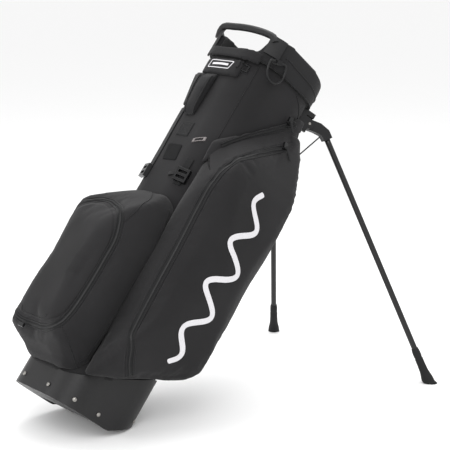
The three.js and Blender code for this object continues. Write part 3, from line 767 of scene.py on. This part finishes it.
for board in ("across", "front", "rear"):
    divider(f"padded_divider_{board}", f"divider_{board}")


# ---------------------------------------------------------------- padded pieces

SOFT = {
    "garment_pocket_right": ("right_garment_pocket", dict(voxel=5.0, rounds=9, swell=2.2, cap=6.0), 0.5),
    "upper_pocket_right": ("right_upper_pocket",
                           dict(voxel=4.0, rounds=4, swell=0.8, cap=3.0, held=3.0), 0.3),
    "garment_pocket_left": ("left_garment_pocket", dict(voxel=5.0, rounds=9, swell=2.0, cap=7.0), 0.5),
    "valuables_pocket_left": ("left_valuables_pocket", dict(voxel=4.5, rounds=6, swell=1.4, cap=4.0), 0.4),
    "ball_pocket_gusset": ("ball_pocket", dict(voxel=5.0, rounds=10, swell=2.2, cap=6.0), 0.6),
    "belly_pad": ("hip_pad", dict(voxel=4.0, rounds=5, swell=1.2, cap=4.0), 0.8),
    "shoulder_pad_right": ("strap_pad_right", dict(voxel=4.0, rounds=5, swell=1.0, cap=4.0, held=2.0), 0.8),
    "shoulder_pad_left": ("strap_pad_left", dict(voxel=4.0, rounds=5, swell=1.0, cap=4.0, held=2.0), 0.8),
    "shoulder_yoke": ("strap_yoke", dict(voxel=3.5, rounds=3, swell=0.6, cap=2.0, held=2.0), 0.6),
    "spine_roll": ("spine_rim_pad", dict(voxel=2.4, rounds=3, swell=0.8, cap=1.5, held=-30.0), 0.9),
}
padded = {}
for soft_name, (soft_node, recipe, fill) in SOFT.items():
    padded[soft_name] = padded_piece(soft_node, soft_name, **recipe)


def folded_pad(piece, inner, width, bottom, top):
    """A folded strap narrows towards its lower end and lies in one arc. Across the strap, y keeps a share
    of its way from the inner edge that grows from width to 1. The height over the body is scaled by
    shares given at five places on the way up and joined by straight lines: the fullest is past half way."""
    place = local(points_of(piece))
    up = np.clip((place[:, 2] - bottom) / (top - bottom), 0, 1)
    place[:, 1] = inner + (place[:, 1] - inner) * (width + (1 - width) * up)
    place[:, 2] = place[:, 2] + 10 * (1 - up)
    height = np.minimum(place[:, 0] + BODY["depth"], 0)
    share = np.interp(up, [0, 0.25, 0.6, 0.85, 1], [0.55, 0.95, 1.2, 1.1, 0.7])
    place[:, 0] += height * (share - 1)
    move_points(piece, world(place))


folded_pad(padded["shoulder_pad_left"], 39, 0.45, 652, 744)
folded_pad(padded["shoulder_pad_right"], 18, 0.8, 631, 744)

GARMENT_ZIP = [(38, -137, 673), (-24, -152, 622), (-62, -159, 587), (-85, -158, 553), (-97, -157, 510),
               (-99, -158, 460), (-97, -160, 400), (-95, -162, 339), (-94, -163, 288), (-93, -163, 244),
               (-92, -163, 204), (-87, -164, 172), (-72, -163, 145), (-50, -153, 121), (-24, -144, 102)]
BALL_ZIP = [(-184, 52, 375), (-181, 31, 392), (-181, -10, 392), (-190, -66, 372), (-188, -85, 347),
            (-182, -92, 312), (-180, -92, 270), (-180, -92, 216), (-182, -90, 167), (-186, -84, 126),
            (-190, -69, 106), (-188, -28, 96), (-188, 24, 94), (-186, 62, 104), (-180, 80, 140),
            (-178, 86, 220), (-178, 84, 300), (-182, 72, 345)]
GUSSET_FOLD = [(-103, -108, 440), (-99, -112, 335), (-96, -112, 272), (-96, -112, 162), (-101, -108, 62)]
channels = [("garment_pocket_right", GARMENT_ZIP, False), ("ball_pocket_gusset", BALL_ZIP, True)]
for piece_name, zip_points, ring in channels:
    piece = padded[piece_name]
    centre, _ = laid(zip_points, tree_of(piece), 120, 0, 4, ring)
    sewn_channel(piece, centre, 9.0, 1.6)
for piece_name, (soft_node, recipe, fill) in SOFT.items():
    piece = padded[piece_name]
    refine(piece)
    is_strap = piece_name.startswith(("shoulder", "belly", "spine"))
    gone = (soft_node, "ball_pocket_panel") if soft_node == "ball_pocket" else (soft_node,)
    dress(piece, STRAP_CLOTH if is_strap else BAG_CLOTH,
          replaces=gone)
for low_name in ("garment_pocket_left", "valuables_pocket_left"):
    padded[low_name].data.materials[0] = SIDE_CLOTH

GARMENT_TREE = tree_of(padded["garment_pocket_right"])
BALL_TREE = tree_of(padded["ball_pocket_gusset"])
UPPER_TREE = tree_of(padded["upper_pocket_right"])
LEFT_TREE = tree_of(padded["garment_pocket_left"])
VALUABLES_TREE = tree_of(padded["valuables_pocket_left"])


def zip_track(name, points, tree, count, width=15.0, closed=False):
    """A zip: a flat tape, a raised coil of small ridges in its middle, a piping cord along each edge and
    a stitch row outside each cord, all laid on one surface."""
    path, normals = laid(points, tree, count, 0, 5, closed)
    tape = sweep(f"{name}_tape", path, normals, strip_section(width * MM, 1.0 * MM, -0.1 * MM), closed)
    dress(tape, WEBBING)
    ridges = 1 + 0.22 * np.sin(np.arange(count * 6) * math.pi / 1.5)
    fine = curve_dense(path, count * 6, closed)
    fine_normals = unit(curve_dense(normals, count * 6, closed))
    coil = sweep(f"{name}_coil", fine, fine_normals, strip_section(3.4 * MM, 1.5 * MM, 0.4 * MM), closed,
                 ridges)
    dress(coil, ZIP_COIL)
    for side, label in ((-1, "inner"), (1, "outer")):
        edge, edge_normals = beside(path, normals, tree, side * width / 2 * MM, 0.5 * MM)
        edge = smoothed(edge, 4, closed)
        cord = sweep(f"{name}_{label}_piping", edge, edge_normals, round_section(1.35 * MM, 10), closed)
        dress(cord, PIPING)
        row, row_normals = beside(path, normals, tree, side * (width / 2 + 4) * MM, 0.1 * MM)
        dress(stitches(f"{name}_{label}_stitches", smoothed(row, 3, closed), row_normals), THREAD)


def curve_dense(values, count, closed=False):
    """Rows of values interpolated evenly to a larger count."""
    span = len(values) if closed else len(values) - 1
    steps = np.linspace(0, span, count, endpoint=not closed)
    ring = np.vstack([values, values[:1]]) if closed else values
    places = np.arange(len(ring))
    return np.stack([np.interp(steps, places, ring[:, k]) for k in range(values.shape[1])], -1)


zip_track("garment_zip", GARMENT_ZIP, GARMENT_TREE, 150)
zip_track("ball_zip", BALL_ZIP, BALL_TREE, 200, 12.0, closed=True)


def upper_gusset():
    """Cloth from the upper zip down to the edge of the garment pocket: between two laid lines each point
    goes straight across, then in towards the body by 7 sin(pi t) mm."""
    above, _ = laid([(86, -103, 736), (52, -108, 733), (5, -112, 686), (-48, -112, 632), (-80, -106, 592),
                     (-91, -97, 568)], UPPER_TREE, 70, -0.8 * MM)
    below, _ = laid([(84, -114, 704), (40, -128, 686), (-31, -146, 628), (-70, -151, 592), (-92, -149, 556),
                     (-98, -149, 520)], GARMENT_TREE, 70, 0.1 * MM)
    t = np.linspace(0, 1, 14)[None, :, None]
    outer = above[:, None] + (below - above)[:, None] * t + SIDE * 7 * MM * np.sin(math.pi * t)
    inner = outer + SIDE * 2 * MM
    return surface("upper_gusset", np.concatenate([outer, inner[:, ::-1]], axis=1))


dress(upper_gusset(), BAG_CLOTH)
zip_track("upper_zip", [(58, -118, 741), (5, -116, 690), (-48, -116, 636), (-80, -108, 596)], UPPER_TREE,
          80, 9.0)
zip_track("left_zip", [(78, 120, 200), (90, 128, 300), (80, 130, 396), (30, 140, 424), (-30, 140, 424),
                       (-78, 128, 386), (-84, 124, 300), (-78, 128, 200)], LEFT_TREE, 130, 12.0)
zip_track("valuables_zip", [(70, 118, 632), (30, 124, 640), (-20, 122, 634)], VALUABLES_TREE, 60, 9.0)
line_on("gusset_fold_piping", GUSSET_FOLD, BALL_TREE, 1.2, 110, PIPING, 0.2)
line_on("ball_pocket_v_seam", [(-92, -92, 58), (-114, -90, 72), (-141, -90, 90), (-184, -86, 117)],
        BALL_TREE, 1.1, 60, PIPING, 0.2)
line_on("ball_pocket_top_seam", [(-104, 2, 464), (-130, -44, 446), (-152, -78, 422), (-173, -92, 380),
                                 (-183, -90, 352)], BALL_TREE, 1.2, 90, PIPING, 0.2)


def straight_loop(corners, per_side=30, rounds=3):
    """A closed outline of straight sides, its corners eased by averaging."""
    corners = np.array(corners, float)
    steps = np.linspace(0, 1, per_side, endpoint=False)
    sides = corners[:, None] + (np.roll(corners, -1, 0) - corners)[:, None] * steps[None, :, None]
    return smoothed(sides.reshape(-1, 3), rounds, True)


def ball_panel():
    """The ball pocket's front panel: rings that shrink the zip's outline to its middle, raised by 0.4 mm
    and 3.2 mm times 1 - r to the fourth power, on a thin back."""
    outline = curve_through(BALL_ZIP, 120, True)
    middle = outline.mean(0)
    ring = np.linspace(0.02, 0.88, 22)
    face = middle + (outline - middle)[None] * ring[:, None, None]
    place, normal = hug(world(face).reshape(-1, 3), BALL_TREE, 0, 0)
    crown = 0.4 + 3.2 * (1 - (ring / ring[-1]) ** 4)
    shape = face.shape
    lifted = (place + normal * np.repeat(crown, shape[1])[:, None] * MM).reshape(shape)
    sunk = (place - normal * 0.5 * MM).reshape(shape)[::-1]
    return surface("ball_pocket_front", np.concatenate([lifted, sunk]))


BALL_FRONT = dress(ball_panel(), BAG_CLOTH)
FRONT_TREE = tree_of(BALL_FRONT)
patch = straight_loop([(-197, 46, 147), (-197, -29, 147), (-197, -46, 122), (-197, -24, 110),
                       (-197, 44, 110)], rounds=6)
patch_path, patch_normals = hug(world(patch), FRONT_TREE, 0.2 * MM, 8, True)
dress(sweep("front_patch_edge", patch_path, patch_normals, round_section(0.8 * MM, 8), True), PIPING)
dress(stitches("front_patch_stitches", smoothed(patch_path + patch_normals * 0.2 * MM, 20, True),
               patch_normals), THREAD)


# ---------------------------------------------------------------- seams, label and small parts on the bag

def slab(name, corners, tree, height, material, lift=0.0, inner=0.0, roundness=4.0,
         body="bag"):
    """A thin flat piece laid on a surface: rings shrink its rounded outline to its middle, or to an inner
    outline when it is a frame, over a back that is sunk into the surface."""
    outline = straight_loop(corners, 30, int(roundness * 3))
    middle = outline.mean(0)
    low = inner if inner else 0.02
    ring = np.linspace(low, 1, 16)
    face = middle + (outline - middle)[None] * ring[:, None, None]
    place, normal = hug(world(face).reshape(-1, 3), tree, 0, 0)
    normal = np.repeat(unit(normal.mean(0))[None], len(normal), 0)
    edge = np.minimum(1, (1 - ring) / 0.08 + 0.35)
    if inner:
        edge = np.minimum(edge, (ring - low) / 0.05 + 0.35)
    rise = np.repeat(edge * height + lift, face.shape[1])[:, None] * MM
    upper = (place + normal * rise).reshape(face.shape)
    lower = (place + normal * (lift - 0.4) * MM).reshape(face.shape)[::-1]
    grid = np.concatenate([upper, lower])
    made = surface(name, grid, wrap_rows=bool(inner))
    return dress(made, material, body)


for label, sign in (("right", -1), ("left", 1)):
    line_on(f"spine_seam_{label}", [(-90, sign * 90, 794), (-90, sign * 90, 640), (-90, sign * 90, 476)],
            BODY_TREE, 1.1, 120, PIPING, 0.1)
    line_on(f"belly_seam_{label}", [(84, sign * 84, 794), (84, sign * 84, 640), (84, sign * 84, 420),
                                   (84, sign * 84, 100)], BODY_TREE, 1.1, 160, PIPING, 0.1)
line_on("cuff_bottom_seam", [(f, y, 797.4) for f, y in rounded_loop(108, 106, 71, 8)], SHELL_TREE, 1.5, 240,
        PIPING, 0.1, closed=True)
collar = [(f, y, cuff_top(f) - 32) for f, y in rounded_loop(109, 107, 72, 10) if f > -60]
order = np.argsort([math.atan2(y, f) for f, y, _ in collar])
line_on("collar_seam", [collar[i] for i in order], SHELL_TREE, 1.6, 200, PIPING, 0.1)
front_zip = [(27, -110, 790), (60, -108, 772), (89, -96, 752)]
line_on("front_vent_seam", front_zip, BODY_TREE, 1.2, 60, PIPING, 0.2)

SPINE_F = -104
label_corners = [(SPINE_F, 44, 756), (SPINE_F, -30, 756), (SPINE_F, -37, 778), (SPINE_F, 42, 779)]
YOKE_TREE = tree_of(padded["shoulder_yoke"], BODY_SHELL)
slab("name_plate", label_corners, YOKE_TREE, 1.5, GLOSS, 0.4, roundness=1.0)
PLATE_TREE = tree_of(bpy.data.objects["name_plate"], padded["shoulder_yoke"], BODY_SHELL)
rim_line = straight_loop([(-112, y - math.copysign(2.5, y), a + (2.2 if a < 770 else -2.2))
                          for _, y, a in label_corners], 40, 3)
rim_path, rim_normals = hug(world(rim_line), PLATE_TREE, 0.1 * MM, 6, True)
dress(sweep("name_plate_rim", rim_path, rim_normals, round_section(1.1 * MM, 8, 0.7), True), PALE_PRINT)
bar_path, bar_normals = laid([(-112, 30, 767), (-112, 4, 768), (-112, -22, 767)], PLATE_TREE, 50, 0.1 * MM)
dress(sweep("name_plate_bar", bar_path, bar_normals, strip_section(5 * MM, 0.7 * MM)), PALE_PRINT)

slab("hook_patch", [(SPINE_F, 32, 571), (SPINE_F, -14, 573), (SPINE_F, -20, 535), (SPINE_F, 26, 533)],
     BODY_TREE, 1.6, HOOKS)
slab("grey_loop", [(SPINE_F, -36, 582), (SPINE_F + 10, -64, 594), (SPINE_F + 10, -64, 603),
                   (SPINE_F, -36, 591)], BODY_TREE, 2.4, GREY_LOOP, inner=0.62,
     roundness=1.0)
slab("accessory_loop_backing", [(SPINE_F, -42, 760), (SPINE_F + 10, -73, 758), (SPINE_F + 10, -73, 783),
                                (SPINE_F, -42, 784)], YOKE_TREE, 0.8, STRAP_CLOTH,
     roundness=1.0)
slab("accessory_loop", [(SPINE_F, -46, 764), (SPINE_F + 10, -70, 762), (SPINE_F + 10, -70, 779),
                        (SPINE_F, -46, 780)], YOKE_TREE, 3.4, GLOSS, inner=0.66,
     roundness=1.5)
slab("oval_button", [(SPINE_F, -24, 499), (SPINE_F, -43, 505), (SPINE_F, -43, 514), (SPINE_F, -24, 508)],
     BODY_TREE, 4.0, GLOSS, roundness=4.0)
slab("stitched_webbing", [(SPINE_F, 27, 593), (SPINE_F, -13, 593), (SPINE_F, -13, 627), (SPINE_F, 27, 627)],
     BODY_TREE, 1.8, WEBBING, roundness=1.0)
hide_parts("strap_webbing_right")
WEB_TREE = tree_of(bpy.data.objects["stitched_webbing"], BODY_SHELL)
box_corners = [(-110, 23, 597), (-110, -9, 597), (-110, -9, 621), (-110, 23, 621)]
box_lines = [[box_corners[i], box_corners[(i + 1) % 4]] for i in range(4)]
box_lines += [[box_corners[0], box_corners[2]], [box_corners[1], box_corners[3]]]
for i, ends in enumerate(box_lines):
    row, row_normals = laid(ends, WEB_TREE, 12, 0.15 * MM, 1)
    dress(stitches(f"box_stitch_{i + 1}", row, row_normals, 2.6, 1.0, 0.4), THREAD)


# ---------------------------------------------------------------- straps

def webbing_strip(name, y, width, low, high, nodes):
    """A flat strap carried down the spine, with a stitch row near each edge."""
    route = [(-106, y, a) for a in np.linspace(high, low, 8)]
    path, normals = laid(route, BODY_TREE, 60, 0.3 * MM)
    strap = sweep(name, path, normals, strip_section(width * MM, 1.8 * MM))
    dress(strap, WEBBING, replaces=nodes)
    for side in (-1, 1):
        edge, edge_normals = beside(path, normals, BODY_TREE, side * (width / 2 - 2.5) * MM, 2.1 * MM)
        row = stitches(f"{name}_stitches_{'right' if side < 0 else 'left'}", edge, edge_normals, 2.6, 1.2)
        dress(row, THREAD)


webbing_strip("lower_strap_left", 56, 22, 505, 658, ("strap_webbing_left",))
webbing_strip("buckle_tail_right", -60, 18, 486, 548, ())
for side in ("right", "left"):
    buckle = bevelled(f"strap_buckle_{side}", f"ladder_buckle_{side}", 1.3, segments=3)
    dress(buckle, GLOSS, replaces=(f"strap_buckle_{side}",))
for label, y_low, y_high, bottom in (("right", -2, 38, 634), ("left", 39, 80, 655)):
    tree = tree_of(padded[f"shoulder_pad_{label}"])
    edge = [(-116, y_low + 3, 738), (-116, y_low + 3, bottom + 12), (-114, (y_low + y_high) / 2, bottom + 2),
            (-116, y_high - 3, bottom + 12), (-116, y_high - 3, 738)]
    line_on(f"shoulder_binding_{label}", edge, tree, 1.6, 150, PIPING, 0.2)


# ---------------------------------------------------------------- moulded parts

base = bevelled("base_cup", "base_shell", 1.6, segments=3)
dress(base, BASE_PLASTIC, replaces=("base_cup",))
handle = bevelled("grab_handle", "carry_handle", 1.2, angle=40)
dress(handle, PLASTIC, replaces=("grab_handle",))
pedal = bevelled("foot_pedal", "pedal_plate", 1.0)
dress(pedal, RUBBER, "pedal", replaces=("foot_pedal",))
for side in ("right", "left"):
    bracket = bevelled(f"leg_bracket_{side}", f"hinge_bracket_{side}", 2.6, segments=3)
    dress(bracket, PLASTIC, replaces=(f"leg_bracket_{side}",))
    elbow = bevelled(f"leg_elbow_{side}", f"hinge_elbow_{side}", 1.8, segments=3)
    dress(elbow, PLASTIC, f"leg_{side}", replaces=(f"leg_elbow_{side}",))
    guide = bevelled(f"rod_guide_{side}", f"rod_clip_{side}", 1.2)
    dress(guide, PLASTIC, replaces=(f"rod_guide_{side}",))
towel_tab = bevelled("towel_ring_tab", "towel_ring_loop", 0.8)
dress(towel_tab, WEBBING, replaces=("towel_ring_tab",))
for node in ("garment_zip_slider", "upper_zip_slider", "ball_zip_slider"):
    slider_body = next(name for name, held in frame["record"]["behaviour"]["bodies"].items() if node in held)
    dress(bevelled(node, node.replace("slider", "runner"), 0.9, segments=3), GLOSS,
          slider_body, replaces=(node,))
for node in ("garment_zip_pull", "upper_zip_pull"):
    pull_body = next(name for name, held in frame["record"]["behaviour"]["bodies"].items() if node in held)
    dress(bevelled(node, node.replace("pull", "cord_pull"), 1.3, segments=3), RUBBER,
          pull_body, replaces=(node,))


RING = {"f": -65.0, "y": -110.0, "a": 811.0, "half": 24.0, "drop": 20.0, "bar": 2.2,
        "turn": math.radians(16.6)}


def towel_ring():
    """A bent bar: a flat top, short slanted shoulders and a half circle below, carried as a closed path."""
    half, drop = RING["half"], RING["drop"]
    arc = np.linspace(0, -math.pi, 15)
    outline = [(half * math.cos(t), -drop + half * math.sin(t)) for t in arc]
    outline += [(-half, -8), (-half + 4, -0.5), (-10, 0), (10, 0), (half - 4, -0.5), (half, -8)]
    flat = curve_through(outline, 140, True)
    ahead = np.array([math.cos(RING["turn"]), 0, math.sin(RING["turn"])])
    up = np.array([-math.sin(RING["turn"]), 0, math.cos(RING["turn"])])
    middle = np.array([RING["f"], RING["y"], RING["a"]])
    path = world(middle + flat[:, 0:1] * ahead + flat[:, 1:2] * up)
    normals = np.repeat(-SIDE[None], len(path), 0)
    return sweep("towel_d_ring", path, normals, round_section(RING["bar"] * MM, 14), True)


dress(towel_ring(), GLOSS, "towel_ring_body", replaces=("towel_ring",))


# ---------------------------------------------------------------- legs

def leg_frame(sign):
    """The leg's top and its direction in the bag frame: out from the hinge by the skew and down by the leg's
    angle."""
    out = np.array([math.cos(LEG_HINGE["skew"]), sign * math.sin(LEG_HINGE["skew"]), 0.0])
    hinge = np.array([LEG_HINGE["f"], sign * LEG_HINGE["y"], LEG_HINGE["a"]])
    up = np.array([0.0, 0.0, 1.0])
    top = hinge + out * LEG_TOP[0] + up * LEG_TOP[1]
    down = out * math.sin(LEG_ANGLE) - up * math.cos(LEG_ANGLE)
    return top, down


def turned(base_point, direction, profile, sides=40):
    """A turned part: each (radius, distance) of the profile is a ring about the line from base_point."""
    axis = unit(direction)
    first = unit(np.cross(axis, SIDE))
    second = np.cross(axis, first)
    angle = np.arange(sides) * 2 * math.pi / sides
    ring = np.cos(angle)[:, None] * first + np.sin(angle)[:, None] * second
    profile = np.array(profile, float)
    return base_point + axis * profile[:, None, 1:2] + ring[None] * profile[:, None, 0:1]


for side, sign in (("right", -1), ("left", 1)):
    top, down = leg_frame(sign)
    steps = np.linspace(0.3, LEG_END, 60)
    profile = [(LEG_RADIUS - 0.8, 0.0), *[(LEG_RADIUS, s) for s in steps], (LEG_RADIUS - 0.8, LEG_END + 0.2)]
    tube = surface(f"leg_shaft_{side}", world(turned(top, down, profile)), uv_size=TUBE_UV)
    dress(tube, TUBE, f"leg_{side}", replaces=(f"leg_tube_{side}",))
    foot_profile = [(6.6, 500), (7.4, 501), (8.6, 508), (8.8, 520), (8.0, 523), (8.9, 526), (8.9, 538),
                    (9.6, 556), (11.0, 564), (13.0, 574), (13.8, 586), (14.0, 600)]
    placed = world(turned(top, down, foot_profile, 48))
    placed[..., 2] = np.maximum(placed[..., 2], 0.0)
    dress(surface(f"leg_foot_{side}", placed), RUBBER, f"leg_{side}",
          replaces=(f"foot_tip_{side}",))


# ---------------------------------------------------------------- print on the pocket

WAVE = {"start": (12.0, -185.0, 160.0), "run": (-2.0, 0.0, 390.0), "swing": 27, "periods": 4, "width": 12}


def wave_print():
    """A plain pale band on the pocket's face: a sine wave of four periods round a straight slanted line,
    12 mm wide with round ends, its swing growing and dying away at the ends."""
    t = np.linspace(0, 1, 260)
    middle = np.array(WAVE["start"]) + t[:, None] * np.array(WAVE["run"])
    turns = np.sin(2 * WAVE["periods"] * math.pi * t)
    swing = WAVE["swing"] * turns * np.sin(math.pi * t) ** 0.35
    middle[:, 0] += swing
    path, normals = hug(world(middle), GARMENT_TREE, 0.15 * MM, 12)
    ends = np.sqrt(np.clip(1 - (2 * np.abs(t - 0.5) - 0.985).clip(0) ** 2 / 0.015 ** 2, 0.02, 1))
    return sweep("pale_wave", path, normals, strip_section(WAVE["width"] * MM, 0.7 * MM), scale=ends)


dress(wave_print(), PALE_PRINT)

CAD_LOOKS = {"steel": STEEL, "black_steel": BLACK_STEEL, "moulded_plastic": PLASTIC,
             "trim_plastic": GLOSS, "rubber": RUBBER,
             "strap_cloth": WEBBING, "bag_cloth": BAG_CLOTH, "leg_tube": TUBE}
for row in frame["record"]["subparts"]:
    shown = frame["nodes"][row["node"]]
    if not shown.hide_render:
        shown.data.materials.clear()
        shown.data.materials.append(CAD_LOOKS[row["material_slot"]])

bpy.context.view_layer.update()
